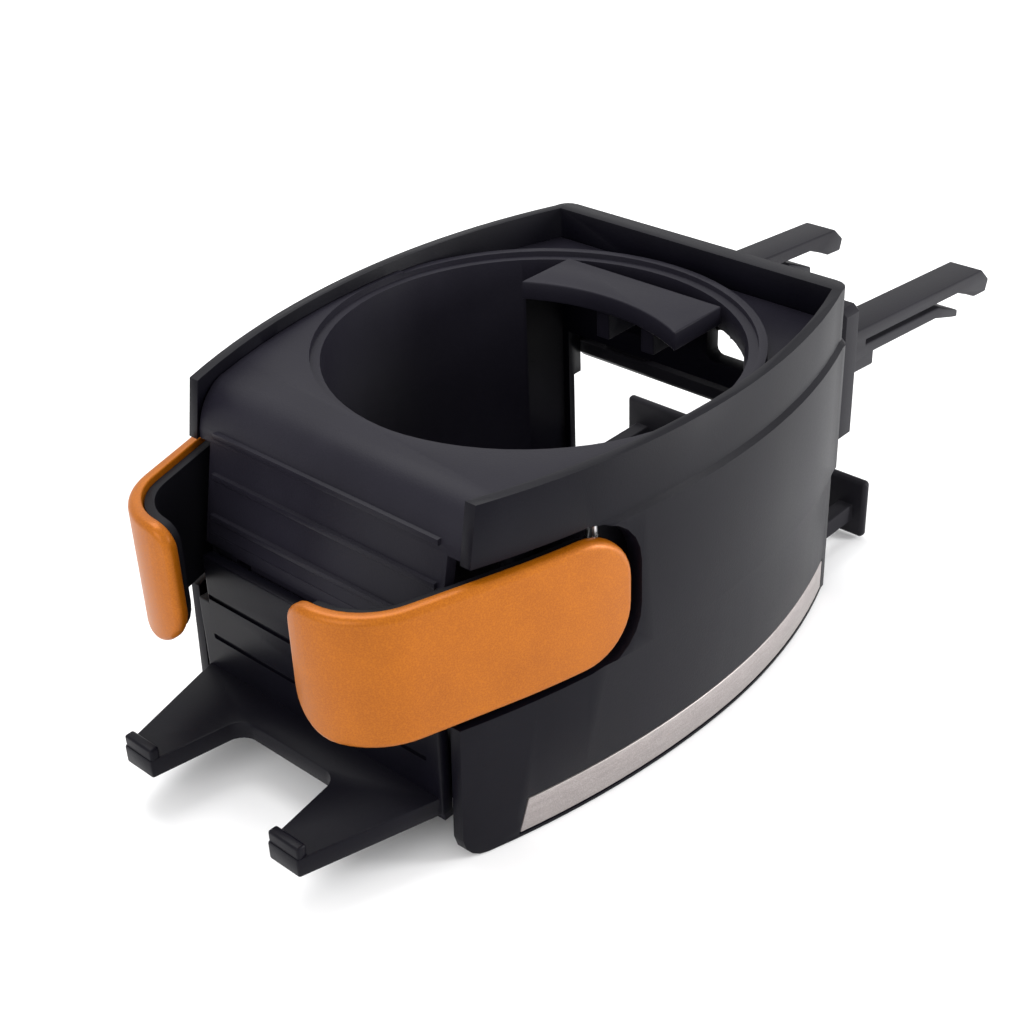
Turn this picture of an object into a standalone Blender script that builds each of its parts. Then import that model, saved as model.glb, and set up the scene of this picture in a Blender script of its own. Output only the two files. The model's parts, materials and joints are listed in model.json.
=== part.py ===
"""Vent-clip cup holder with a phone cradle on its front.

Frame: +X right, +Y to the back (towards the vent), +Z up, metres.
Dimensions below are measured from the cup's axis (X = Y = 0) and from the underside
of the body (Z = 0).  The root empty then centres the whole length on the origin.
The cup's bore and the body's height lead; what must fit round them follows from them.
"""
import math

import bmesh
import bpy
from mathutils import Matrix, Vector

MM = 0.001
GAP = 0.3 * MM                      # clearance between neighbours that touch
SLIDE_GAP = 0.35 * MM               # clearance round anything that slides

# ---- leading sizes -------------------------------------------------------------
CUP_R = 34.6 * MM                   # inside radius of the cup
BODY_HEIGHT = 59.5 * MM
WALL = 1.8 * MM

# ---- body --------------------------------------------------------------------
BODY_HALF = CUP_R + 4.4 * MM        # half width at the cup's axis
FRONT_HALF = BODY_HALF - 8.7 * MM   # half width at the front edges
REAR_Y = CUP_R + 10.4 * MM          # back face of the rear beam
REAR_ARC_R = 120.0 * MM             # plan radius of the walls behind the cup's axis
REAR_CORNER_R = 3.0 * MM
FRONT_CORNER_R = 4.0 * MM           # lower front corner of each wall
BEAM_DEPTH = 3.5 * MM
BEAM_BOTTOM = BODY_HEIGHT - 25.0 * MM
REAR_OPEN_INSET = 2.0 * MM          # walls stand this far short of the beam below it
WINDOW_X = 11.0 * MM
WINDOW_WIDTH = 13.0 * MM
WINDOW_HEIGHT = 9.0 * MM
WINDOW_Z = BEAM_BOTTOM + 4.2 * MM
WINDOW_R = 1.5 * MM
TOOTH_WIDTH = 3.0 * MM
TOOTH_DROP = 3.4 * MM

# ---- phone arms ------------------------------------------------------------
ARM_TOP = BODY_HEIGHT - 11.3 * MM
ARM_BOTTOM = ARM_TOP - 22.2 * MM
ARM_PROUD = 0.6 * MM                # the cover stands this far outside the band
ARM_REAR_Y = 12.4 * MM - CUP_R
ARM_LEAVE_Y = -CUP_R - 9.4 * MM     # where the arm leaves the wall's curve
ARM_STRAIGHT = 14.0 * MM
ARM_HOOK_R = 12.0 * MM
ARM_HOOK_ANGLE = 90.0
ARM_REAR_R = 9.0 * MM
ARM_FRONT_R = 4.0 * MM
ARM_FRONT_LOW_R = 7.5 * MM
COVER_T = 2.2 * MM
LINER_T = 1.5 * MM
LINER_INSET = 0.9 * MM              # the liner is this much smaller all round
SLOT_GAP = 1.7 * MM
SLOT_REAR_GAP = 2.0 * MM
PIN_INSET = 4.4 * MM                # pin axis inside the cover's outer face
PIN_Y = ARM_REAR_Y - 3.8 * MM
PIN_R = 0.9 * MM
KNUCKLE_R = 1.9 * MM
KNUCKLE_HEIGHT = 4.5 * MM
KNUCKLE_INSET = 3.2 * MM            # knuckles start this far inside the arm's edges
PIN_BOSS_HEIGHT = 3.6 * MM
SPRING_WIRE_R = 0.3 * MM
SPRING_R = 1.6 * MM                 # from the axis to the middle of the wire
ARM_SPRING_TURNS = 6
ARM_SPRING_LEG = 4.0 * MM

# ---- raised band and front edge of the walls -------------------------------------
BAND_TOP = ARM_TOP + SLOT_GAP       # level with the arms' slots
BAND_BOTTOM = ARM_BOTTOM - 1.4 * MM
BAND_PROUD = 0.8 * MM
BAND_RAMP = 0.7 * MM
FRONT_EDGE = [                      # (height, how far ahead of the cup's axis the walls end)
    (0.0, CUP_R + 18.0 * MM),
    (ARM_BOTTOM - 0.1 * MM, CUP_R + 17.0 * MM),
    (BAND_TOP, CUP_R + 13.1 * MM),
    (BODY_HEIGHT, CUP_R + 11.4 * MM),
]

# ---- trim strips ---------------------------------------------------------------
TRIM_BOTTOM = 0.8 * MM
TRIM_HEIGHT = 5.8 * MM
TRIM_FRONT_Y = -CUP_R - 8.4 * MM
TRIM_REAR_Y = CUP_R + 6.4 * MM
TRIM_SLANT = 1.8 * MM
TRIM_T = 0.6 * MM

# ---- deck, cup and fascia ------------------------------------------------------
RIM_RISE = 2.0 * MM                 # the walls stand this far above the deck
DECK_T = 2.0 * MM
DECK_TOP = BODY_HEIGHT - RIM_RISE
LIP_R = CUP_R + 1.6 * MM
LIP_DEPTH = 1.2 * MM
CUP_WALL = 1.4 * MM
CUP_OPEN_ANGLE = 44.0               # the cup wall is open this far each side of +Y
CUP_WALL_BOTTOM = 6.0 * MM
POCKET_DROP = 3.6 * MM              # the deck behind the cup lies this much lower
POCKET_START_Y = 6.0 * MM
ROLL_R = 7.0 * MM                   # rolled edge from deck to fascia
FASCIA_HALF = FRONT_HALF - 4.7 * MM
FASCIA_T = 2.0 * MM
FASCIA_TOP_Y = -CUP_R - 12.6 * MM
FASCIA_LEAN = 3.6 * MM              # the fascia's foot lies this far ahead of its top
FASCIA_BOTTOM = DECK_TOP - 23.9 * MM
RIB_HALF = FASCIA_HALF - 1.4 * MM
RIB_Z = [DECK_TOP - drop * MM for drop in (5.6, 12.3, 19.0)]
RIB_HEIGHT = 1.0 * MM
RIB_PROUD = 0.6 * MM
BACKPLATE_HALF = FASCIA_HALF - 1.0 * MM
BACKPLATE_BOTTOM = 3.4 * MM
BACKPLATE_T = 1.8 * MM

# ---- floor -----------------------------------------------------------------
FLOOR_BOTTOM = 0.8 * MM
FLOOR_T = 2.2 * MM
FLOOR_FRONT_Y = -CUP_R - 9.4 * MM
FLOOR_REAR_Y = CUP_R + 5.4 * MM
LUG_T = 1.7 * MM
SCREW_R = 1.2 * MM
SCREW_HEAD_R = 2.1 * MM
SCREW_HEAD_T = 1.1 * MM
FLOOR_SCREW_LENGTH = 11.0 * MM
BOSS_R = 2.6 * MM
FLOOR_SCREW_POLAR = ((CUP_R + 6.8 * MM, -52.8), (CUP_R + 3.4 * MM, 35.4))
FLOOR_SCREWS = [
    (radius * math.cos(math.radians(turn)), radius * math.sin(math.radians(turn)))
    for radius, turn in FLOOR_SCREW_POLAR
]

# ---- cup pad ---------------------------------------------------------------
PAD_HALF = 0.48 * CUP_R
PAD_TOP = DECK_TOP - 0.1 * MM
PAD_T = 3.4 * MM
PAD_FRONT_Y = CUP_R - 14.6 * MM     # at the middle of the hollow front face
PAD_REAR_Y = PAD_FRONT_Y + 8.5 * MM
PAD_FACE_R = CUP_R
PAD_PIVOT_Y = REAR_Y - BEAM_DEPTH - 2.5 * MM
PAD_PIVOT_Z = PAD_TOP - 8.2 * MM
PAD_PIN_R = 1.0 * MM
PAD_LEVER_X = 4.9 * MM
PAD_LEVER_W = 2.8 * MM
PAD_EYE_R = 2.2 * MM
PAD_EAR_X = 8.2 * MM
PAD_EAR_W = 2.4 * MM
PAD_LEVER_ROOT = 5.0 * MM
PAD_SPRING_R = 1.75 * MM
PAD_SPRING_TURNS = 5.5
PAD_SPRING_LEG = 5.0 * MM

# ---- clip rail and vent clips -------------------------------------------------
RAIL_HALF = BODY_HALF - 9.0 * MM
RAIL_DEPTH = 6.2 * MM
RAIL_TOP = BODY_HEIGHT - 6.0 * MM
RAIL_BOTTOM = RAIL_TOP - 26.0 * MM
RAIL_CHAMFER = 1.2 * MM
CLIP_X = RAIL_HALF - 12.6 * MM
CLIP_TRAVEL = 6.0 * MM              # each clip's way out from rest
CLIP_WIDTH = 7.4 * MM
CLIP_STEM_BOTTOM = RAIL_BOTTOM + 5.1 * MM
CLIP_STEM_TOP = CLIP_STEM_BOTTOM + 8.6 * MM
CLIP_DROOP = 5.8 * MM               # the clip's tip lies this much lower than its root
CLIP_LENGTH = 64.4 * MM
CLIP_JAW_T = 2.7 * MM
CLIP_LOWER_T = 2.2 * MM
CLIP_SLIT = 1.0 * MM
CLIP_HOOK_DROP = 2.6 * MM
CLIP_LOWER_SHORT = 12.0 * MM
CLIP_ROOT = 17.5 * MM               # the slit starts this far behind the rail
CLIP_GUSSET = 20.5 * MM
CLIP_HEAD_T = 2.0 * MM
CLIP_HEAD_SIDE = 1.6 * MM           # the head is this much wider than the stem
CLIP_HEAD_UNDER = 1.3 * MM
CLIP_HEAD_OVER = 4.5 * MM
RAIL_SCREW_Z = RAIL_TOP - 3.1 * MM
RAIL_SCREWS = ((RAIL_HALF - 2.8 * MM, RAIL_SCREW_Z), (3.6 * MM, RAIL_SCREW_Z))
RAIL_SCREW_END = 1.2 * MM           # rail left solid behind a screw's tip

# ---- phone foot ------------------------------------------------------------
FOOT_FACE_Y = FASCIA_TOP_Y - FASCIA_LEAN - 2.2 * MM
FOOT_TOP = FASCIA_BOTTOM - 1.0 * MM
FOOT_BOTTOM = 7.2 * MM
FOOT_HALF = FRONT_HALF - 5.9 * MM   # beside the arms
FOOT_WIDE_HALF = FRONT_HALF - 3.3 * MM  # below the arms
FOOT_WIDE_TOP = FOOT_TOP - 9.0 * MM
FOOT_TRAVEL = FOOT_TOP - 15.6 * MM
FOOT_T = 2.2 * MM
FOOT_GROOVE_Z = (FOOT_TOP - 7.8 * MM, FOOT_TOP - 15.6 * MM)
FOOT_GROOVE = 0.6 * MM
FORK_T = 3.3 * MM
FORK_REACH = 22.5 * MM              # prong tips ahead of the foot plate's face
FORK_BAR = 6.4 * MM
FORK_FILLET = 2.5 * MM
PRONG_ROOT_IN = 10.9 * MM
PRONG_ROOT_OUT = FOOT_WIDE_HALF - 0.2 * MM
PRONG_TIP_IN = 13.6 * MM
PRONG_TIP_OUT = 20.1 * MM
LIP_HEIGHT = 5.2 * MM
LIP_T = 2.0 * MM
RUNNER_X = FOOT_HALF - 7.4 * MM
RUNNER_NECK = 2.6 * MM
RUNNER_HEAD = 5.6 * MM
RUNNER_HEAD_T = 1.5 * MM
RUNNER_LENGTH = 9.0 * MM

# ---- rear support foot --------------------------------------------------------
SUPPORT_HALF = RAIL_HALF - 1.4 * MM
SUPPORT_BOTTOM = 0.4 * MM
SUPPORT_TOP = 12.6 * MM
SUPPORT_T = 2.0 * MM
SUPPORT_CHAMFER = 0.6 * MM
SUPPORT_Y = REAR_Y + 15.0 * MM
BAR_X = RAIL_HALF - 5.4 * MM
BAR_W = 3.0 * MM
BAR_H = 3.6 * MM
BAR_Z = 5.4 * MM
BAR_END_GAP = 0.7 * MM              # from the bars' front ends to the ends of the cup wall
CUP_WALL_END_Y = (CUP_R + CUP_WALL) * math.cos(math.radians(CUP_OPEN_ANGLE))
BAR_LENGTH = SUPPORT_Y - CUP_WALL_END_Y - BAR_END_GAP
SLEEVE_WALL = 1.4 * MM
SLEEVE_FRONT_Y = REAR_Y - 14.0 * MM
SLEEVE_LENGTH = 8.0 * MM

# ---- worked out from the above -------------------------------------------------
BEAM_FRONT_Y = REAR_Y - BEAM_DEPTH
DECK_BOTTOM = DECK_TOP - DECK_T
POCKET_TOP = DECK_TOP - POCKET_DROP
CUP_OUTER_R = CUP_R + CUP_WALL
FLOOR_TOP = FLOOR_BOTTOM + FLOOR_T
SLOT_BOTTOM = ARM_BOTTOM - SLOT_GAP
SLOT_TOP = ARM_TOP + SLOT_GAP
SLOT_REAR_Y = ARM_REAR_Y + SLOT_REAR_GAP
RAIL_FRONT_Y = REAR_Y + GAP
RAIL_REAR_Y = RAIL_FRONT_Y + RAIL_DEPTH
CLIP_END_Y = RAIL_REAR_Y + CLIP_LENGTH
FORK_TIP_Y = FOOT_FACE_Y - FORK_REACH
LENGTH_SHIFT = -(FORK_TIP_Y + CLIP_END_Y) / 2

# ---- helpers ---------------------------------------------------------------------
for old in list(bpy.data.objects):
    bpy.data.objects.remove(old)

parts = bpy.data.collections.new("vent_cup_holder")
cutters = bpy.data.collections.new("cutters")
bpy.context.scene.collection.children.link(parts)
bpy.context.scene.collection.children.link(cutters)
root = bpy.data.objects.new("root", None)
root.location.y = LENGTH_SHIFT
parts.objects.link(root)


def material(name, colour, roughness, metallic=0.0):
    made = bpy.data.materials.new(name)
    made.use_nodes = True
    shader = made.node_tree.nodes["Principled BSDF"]
    shader.inputs["Base Color"].default_value = (*colour, 1.0)
    shader.inputs["Roughness"].default_value = roughness
    shader.inputs["Metallic"].default_value = metallic
    return made


BLACK = material("black_plastic", (0.022, 0.021, 0.025), 0.5)
ORANGE = material("orange_satin", (0.62, 0.25, 0.03), 0.35, 0.3)
SILVER = material("satin_silver", (0.42, 0.40, 0.39), 0.4, 0.8)
STEEL = material("steel", (0.55, 0.55, 0.56), 0.3, 1.0)


def add_object(name, bm, look=None):
    """An object under the root: a part with its look, or a hidden cutter without one."""
    bmesh.ops.recalc_face_normals(bm, faces=bm.faces)
    mesh = bpy.data.meshes.new(name)
    bm.to_mesh(mesh)
    bm.free()
    made = bpy.data.objects.new(name, mesh)
    made.parent = root
    if look is None:
        cutters.objects.link(made)
        made.hide_render = True
        made.display_type = "WIRE"
        return made
    parts.objects.link(made)
    mesh.materials.append(look)
    mesh.shade_smooth()
    mesh.set_sharp_from_angle(angle=math.radians(35))
    return made


def pivot_at(made, x, y, z):
    """Puts a moving piece's origin on its joint."""
    made.data.transform(Matrix.Translation((-x, -y, -z)))
    made.location = (x, y, z)


def change(target, tool, operation="DIFFERENCE"):
    modifier = target.modifiers.new(tool.name, "BOOLEAN")
    modifier.operation = operation
    modifier.object = tool


def join(target, tool):
    change(target, tool, "UNION")


def box(name, low, high, look=None, chamfer=0.0):
    bm = bmesh.new()
    bmesh.ops.create_cube(bm, size=1.0)
    for vert in bm.verts:
        vert.co = [low[i] + (vert.co[i] + 0.5) * (high[i] - low[i]) for i in range(3)]
    if chamfer:
        bmesh.ops.bevel(bm, geom=bm.edges, offset=chamfer, segments=1, affect="EDGES", profile=0.5, material=-1)
    return add_object(name, bm, look)


def turned(name, axis, start, steps, look=None, segments=24):
    """A solid turned about an axis through start; steps are (distance along the axis, radius)."""
    bm = bmesh.new()
    profile = [(0.0, steps[0][0])] + [(radius, along) for along, radius in steps] + [(0.0, steps[-1][0])]
    verts = [bm.verts.new((radius, 0.0, along)) for radius, along in profile]
    edges = [bm.edges.new(pair) for pair in zip(verts, verts[1:])]
    bmesh.ops.spin(
        bm, geom=verts + edges, cent=(0, 0, 0), axis=(0, 0, 1), angle=math.tau, steps=segments, use_merge=True
    )
    bmesh.ops.remove_doubles(bm, verts=bm.verts, dist=1e-6)
    turn = Vector((0, 0, 1)).rotation_difference(Vector([float(i == axis) for i in range(3)]))
    bmesh.ops.rotate(bm, verts=bm.verts, cent=(0, 0, 0), matrix=turn.to_matrix())
    bmesh.ops.translate(bm, verts=bm.verts, vec=start)
    return add_object(name, bm, look)


def rod(name, axis, start, length, radius, look=None, segments=24):
    return turned(name, axis, start, [(0.0, radius), (length, radius)], look, segments)


def prism(name, axis, outline, low, high, look=None):
    """A flat outline pushed along an axis; its points are (Y, Z) for 0, (X, Z) for 1 and (X, Y) for 2."""
    bm = bmesh.new()
    first = []
    for a, b in outline:
        point = {0: (low, a, b), 1: (a, low, b), 2: (a, b, low)}[axis]
        first.append(bm.verts.new(point))
    face = bm.faces.new(first)
    pushed = bmesh.ops.extrude_face_region(bm, geom=[face])
    moved = [item for item in pushed["geom"] if isinstance(item, bmesh.types.BMVert)]
    bmesh.ops.translate(bm, verts=moved, vec=[(high - low) * float(i == axis) for i in range(3)])
    return add_object(name, bm, look)


def loft(name, sections, look=None):
    """Skins closed loops of equal length one after another and caps the two ends."""
    bm = bmesh.new()
    loops = [[bm.verts.new(point) for point in section] for section in sections]
    for lower, upper in zip(loops, loops[1:]):
        for i in range(len(lower)):
            j = (i + 1) % len(lower)
            bm.faces.new((lower[i], lower[j], upper[j], upper[i]))
    bm.faces.new(loops[0][::-1])
    bm.faces.new(loops[-1])
    return add_object(name, bm, look)


def round_corner(corner, before, after, radius, steps=6):
    """Points of a fillet at a corner between its two neighbours."""
    to_a = (Vector(before) - Vector(corner)).normalized()
    to_b = (Vector(after) - Vector(corner)).normalized()
    half = to_a.angle(to_b) / 2
    centre = Vector(corner) + (to_a + to_b).normalized() * (radius / math.sin(half))
    start = Vector(corner) + to_a * (radius / math.tan(half)) - centre
    end = Vector(corner) + to_b * (radius / math.tan(half)) - centre
    sweep = start.angle_signed(end)
    return [tuple(centre + Matrix.Rotation(-sweep * i / steps, 2) @ start) for i in range(steps + 1)]


def rounded(outline, radii, steps=6):
    """An outline with a fillet of the given radius at each corner; radius 0 keeps it sharp."""
    points = []
    for i, corner in enumerate(outline):
        if radii[i] == 0:
            points.append(corner)
        else:
            points += round_corner(corner, outline[i - 1], outline[(i + 1) % len(outline)], radii[i], steps)
    return points


def mirrored(points):
    return [(-point[0], *point[1:]) for point in reversed(points)]


def coil(name, centre, axis, length, radius, turns, legs, look):
    """A torsion spring about an axis, with a straight leg at each end."""
    steps = 12
    points = []
    count = round(turns * steps)
    for i in range(count + 1):
        angle = math.tau * i / steps
        along = -length / 2 + length * i / count
        flat = (radius * math.cos(angle), radius * math.sin(angle))
        points.append(Vector((along, *flat) if axis == 0 else (*flat, along)))
    points.insert(0, points[0] + Vector(legs[0]))
    points.append(points[-1] + Vector(legs[1]))
    curve = bpy.data.curves.new(name, "CURVE")
    curve.dimensions = "3D"
    spline = curve.splines.new("POLY")
    spline.points.add(len(points) - 1)
    for target, point in zip(spline.points, points):
        target.co = (*point, 1.0)
    curve.bevel_depth = SPRING_WIRE_R
    curve.bevel_resolution = 1
    curve.use_fill_caps = True
    curve.materials.append(look)
    made = bpy.data.objects.new(name, curve)
    made.parent = root
    made.location = centre
    parts.objects.link(made)
    return made


# ---- the walls' plan ---------------------------------------------------------------
def front_edge_y(z):
    """Where the walls end ahead of the cup's axis, at a height."""
    clamped = min(max(z, 0.0), BODY_HEIGHT)
    for (z0, y0), (z1, y1) in zip(FRONT_EDGE, FRONT_EDGE[1:]):
        if clamped <= z1:
            return -(y0 + (y1 - y0) * (clamped - z0) / (z1 - z0))
    return -FRONT_EDGE[-1][1]


def corner_rise(distance, radius):
    """How much a rounded corner takes away at a distance from the end."""
    if distance >= radius:
        return 0.0
    return radius - math.sqrt(radius**2 - (radius - distance) ** 2)


def front_arc_radius(z):
    inset = BODY_HALF - FRONT_HALF
    return (front_edge_y(z) ** 2 + inset**2) / (2 * inset)


def wall_x(y, z, offset=0.0):
    """Half width of the walls' outer face, pushed outwards by an offset."""
    radius = REAR_ARC_R if y >= 0 else front_arc_radius(z)
    return BODY_HALF - radius + math.sqrt((radius + offset) ** 2 - y**2)


def spread(low, high, count):
    return [low + (high - low) * i / count for i in range(count + 1)]


def wall_line(z, offset, low_y, high_y, count=22):
    return [(wall_x(y, z, offset), y) for y in spread(low_y, high_y, count)]


def plan(z, offset, low_y, high_y, corner_r=0.0):
    """Closed outline of the body's plan at a height, front edge straight, rear corners rounded."""
    right = wall_line(z, offset, low_y, high_y - corner_r)
    if corner_r:
        edge_x = right[-1][0]
        for i in range(1, 5):
            angle = math.radians(90 * i / 4)
            right.append((edge_x - corner_r * (1 - math.cos(angle)), high_y - corner_r * (1 - math.sin(angle))))
    return right + mirrored(right)


def level(points, z):
    return [(*point, z) for point in points]


def plan_block(name, low_z, high_z, offset, low_y, high_y, look=None):
    """A block that fills the body's plan between two heights."""
    heights = [low_z] + [z for z, _ in FRONT_EDGE if low_z < z < high_z] + [high_z]
    return loft(name, [level(plan(z, offset, low_y, high_y), z) for z in heights], look)


def wall_strip(name, low_z, high_z, inner, outer, low_y, high_y, slant, side, look=None):
    """A strip along one wall between two offsets; slant moves its top front corner back."""
    sections = []
    for z, shift in ((low_z, 0.0), (high_z, slant)):
        strip = wall_line(z, outer, low_y + shift, high_y) + wall_line(z, inner, low_y + shift, high_y)[::-1]
        sections.append(level(strip if side > 0 else mirrored(strip), z))
    return loft(name, sections, look)


# ---- the arms' plan ------------------------------------------------------------------
ARM_MID_Z = (ARM_BOTTOM + ARM_TOP) / 2
ARM_ARC_R = front_arc_radius(ARM_MID_Z)
ARM_OFFSET = BAND_PROUD + ARM_PROUD
ARM_BASE_CENTRE = Vector((BODY_HALF - ARM_ARC_R, 0.0))
ARM_REAR_ANGLE = math.asin(ARM_REAR_Y / ARM_ARC_R)
ARM_LEAVE_ANGLE = math.asin(ARM_LEAVE_Y / ARM_ARC_R)
ARM_BASE_LENGTH = (ARM_REAR_ANGLE - ARM_LEAVE_ANGLE) * ARM_ARC_R
ARM_HOOK_START = ARM_BASE_LENGTH + ARM_STRAIGHT
ARM_LENGTH = ARM_HOOK_START + math.radians(ARM_HOOK_ANGLE) * ARM_HOOK_R
PIN_X = wall_x(PIN_Y, ARM_MID_Z, ARM_OFFSET) - PIN_INSET


def arm_point(along, offset):
    """A point at a distance along the arm from its rear end, pushed outwards by an offset."""
    if along <= ARM_BASE_LENGTH:
        angle = ARM_REAR_ANGLE - along / ARM_ARC_R
        return ARM_BASE_CENTRE + (ARM_ARC_R + offset) * Vector((math.cos(angle), math.sin(angle)))
    start = Vector((math.cos(ARM_LEAVE_ANGLE), math.sin(ARM_LEAVE_ANGLE)))
    ahead = Vector((start.y, -start.x)) * min(along - ARM_BASE_LENGTH, ARM_STRAIGHT)
    if along <= ARM_HOOK_START:
        return ARM_BASE_CENTRE + (ARM_ARC_R + offset) * start + ahead
    centre = ARM_BASE_CENTRE + (ARM_ARC_R - ARM_HOOK_R) * start + ahead
    angle = ARM_LEAVE_ANGLE - (along - ARM_HOOK_START) / ARM_HOOK_R
    return centre + (ARM_HOOK_R + offset) * Vector((math.cos(angle), math.sin(angle)))


def arm_shell(name, outer, inner, inset, side, look):
    """A plate along the arm with rounded ends, between two offsets from the wall's face."""
    rear, front = inset, ARM_LENGTH - inset
    rear_r, top_r, low_r = ARM_REAR_R - inset, ARM_FRONT_R - inset, ARM_FRONT_LOW_R - inset
    stations = [rear + rear_r * (1 - math.cos(math.radians(a))) for a in range(0, 90, 15)]
    stations += spread(rear + rear_r, front - low_r, 26)
    stations += [front - low_r * (1 - math.sin(math.radians(a))) for a in range(15, 91, 15)]
    sections = []
    for along in stations:
        low = ARM_BOTTOM + inset + corner_rise(along - rear, rear_r) + corner_rise(front - along, low_r)
        high = ARM_TOP - inset - corner_rise(along - rear, rear_r) - corner_rise(front - along, top_r)
        a, b = arm_point(along, outer), arm_point(along, inner)
        section = [(a.x, a.y, low), (a.x, a.y, high), (b.x, b.y, high), (b.x, b.y, low)]
        sections.append(section if side > 0 else mirrored(section))
    return loft(name, sections, look)


# ---- body shell ------------------------------------------------------------------
def make_shell():
    corner = [FRONT_CORNER_R * (1 - math.cos(math.radians(a))) for a in (0, 20, 40, 60)]
    bands = [(z, 0.0) for z in corner] + [
        (FRONT_CORNER_R, 0.0),
        (BAND_BOTTOM, 0.0),
        (BAND_BOTTOM + BAND_RAMP, BAND_PROUD),
        (BAND_TOP - BAND_RAMP, BAND_PROUD),
        (BAND_TOP, 0.0),
        (BODY_HEIGHT, 0.0),
    ]
    outer = []
    for z, offset in bands:
        front = front_edge_y(z) + corner_rise(z, FRONT_CORNER_R)
        outer.append(level(plan(z, offset, front, REAR_Y, REAR_CORNER_R), z))
    shell = loft("body_shell", outer, BLACK)
    far = 2 * BODY_HALF
    room = plan_block("shell_room", -WALL, BODY_HEIGHT + WALL, -WALL, -far, BEAM_FRONT_Y)
    change(shell, room)
    rear_half = wall_x(REAR_Y, 0.0, -WALL)
    change(shell, box("rear_opening", (-rear_half, 0, -WALL), (rear_half, far, BEAM_BOTTOM)))
    change(shell, box("rear_trim", (-far, REAR_Y - REAR_OPEN_INSET, -WALL), (far, far, BAND_BOTTOM)))
    slot = [(-far, SLOT_BOTTOM), (SLOT_REAR_Y, SLOT_BOTTOM), (SLOT_REAR_Y, SLOT_TOP), (-far, SLOT_TOP)]
    change(shell, prism("arm_slots", 0, rounded(slot, [0, ARM_REAR_R, ARM_REAR_R, 0]), -far, far))
    for side in (-1, 1):
        tag = "left" if side < 0 else "right"
        middle = side * WINDOW_X
        low, high = middle - WINDOW_WIDTH / 2, middle + WINDOW_WIDTH / 2
        top = WINDOW_Z + WINDOW_HEIGHT
        tooth = top - TOOTH_DROP
        window = [
            (low, WINDOW_Z),
            (high, WINDOW_Z),
            (high, top),
            (middle + TOOTH_WIDTH / 2, top),
            (middle + TOOTH_WIDTH / 2, tooth),
            (middle - TOOTH_WIDTH / 2, tooth),
            (middle - TOOTH_WIDTH / 2, top),
            (low, top),
        ]
        radii = [WINDOW_R, WINDOW_R, WINDOW_R, 0, 0, 0, 0, WINDOW_R]
        change(shell, prism(f"window_{tag}", 1, rounded(window, radii, 3), BEAM_FRONT_Y - WALL, far))
        for name, low_z, high_z in (
            ("upper", SLOT_TOP, SLOT_TOP + PIN_BOSS_HEIGHT),
            ("lower", SLOT_BOTTOM - PIN_BOSS_HEIGHT, SLOT_BOTTOM),
        ):
            boss = prism(
                f"pin_boss_{name}_{tag}", 2, boss_outline(side, low_z), low_z, high_z
            )
            join(shell, boss)
        hole_start = (side * PIN_X, PIN_Y, SLOT_BOTTOM - PIN_BOSS_HEIGHT - WALL)
        hole_length = SLOT_TOP - SLOT_BOTTOM + 2 * (PIN_BOSS_HEIGHT + WALL)
        change(shell, rod(f"pin_hole_{tag}", 2, hole_start, hole_length, PIN_R + GAP / 2, segments=20))
        for place, (x, y) in zip(("front", "rear"), FLOOR_SCREWS):
            inner = x - SCREW_HEAD_R - GAP
            lug = box(
                f"lug_{place}_{tag}",
                (min(side * inner, side * (wall_x(y, 0, -WALL / 2))), y - BOSS_R, FLOOR_TOP + GAP),
                (max(side * inner, side * (wall_x(y, 0, -WALL / 2))), y + BOSS_R, FLOOR_TOP + GAP + LUG_T),
            )
            join(shell, lug)
            start = (side * x, y, 0.0)
            change(shell, rod(f"lug_hole_{place}_{tag}", 2, start, 3 * LUG_T + FLOOR_TOP, SCREW_R + GAP, segments=20))
        recess_top = TRIM_BOTTOM + TRIM_HEIGHT + GAP
        recess = wall_strip(
            f"trim_recess_{tag}", TRIM_BOTTOM - GAP, recess_top, -(TRIM_T + GAP), WALL,
            TRIM_FRONT_Y - GAP, TRIM_REAR_Y + GAP, TRIM_SLANT, side,
        )
        change(shell, recess)
    for index, (x, z) in enumerate(rail_screw_places()):
        change(shell, screw_hole(f"beam_hole_{index}", 1, (x, BEAM_FRONT_Y, z), REAR_Y))
    for side in (-1, 1):
        tag = "left" if side < 0 else "right"
        middle = side * PAD_EAR_X
        ear = prism(
            f"pad_ear_{tag}", 0, eye_outline(PAD_EYE_R, BEAM_FRONT_Y + BEAM_DEPTH / 2, 2 * PAD_EYE_R),
            middle - PAD_EAR_W / 2, middle + PAD_EAR_W / 2,
        )
        join(shell, ear)
    change(shell, rod("ear_hole", 0, (-BODY_HALF / 2, PAD_PIVOT_Y, PAD_PIVOT_Z), BODY_HALF, PAD_PIN_R + GAP / 2))
    return shell


def boss_outline(side, z):
    """Plan of an arm pin's boss: round inside, running into the wall."""
    points = []
    for i in range(13):
        angle = math.radians(90 + 180 * i / 12)
        points.append((PIN_X + KNUCKLE_R * math.cos(angle), PIN_Y + KNUCKLE_R * math.sin(angle)))
    wall_side = wall_x(PIN_Y, z, -WALL / 2)
    points += [(wall_side, PIN_Y - KNUCKLE_R), (wall_side, PIN_Y + KNUCKLE_R)]
    return points if side > 0 else mirrored(points)


def eye_outline(radius, reach_y, height):
    """An eye about the pad's pivot with a straight tail to reach_y."""
    points = []
    for i in range(13):
        angle = math.radians(90 + 180 * i / 12)
        points.append((PAD_PIVOT_Y + radius * math.cos(angle), PAD_PIVOT_Z + radius * math.sin(angle)))
    points += [(reach_y, PAD_PIVOT_Z + radius - height), (reach_y, PAD_PIVOT_Z + radius)]
    return points


# ---- screws --------------------------------------------------------------------------
def rail_screw_places():
    return [(side * x, z) for x, z in RAIL_SCREWS for side in (-1, 1)]


def floor_screw_places():
    return [(side * x, y) for x, y in FLOOR_SCREWS for side in (-1, 1)]


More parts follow.
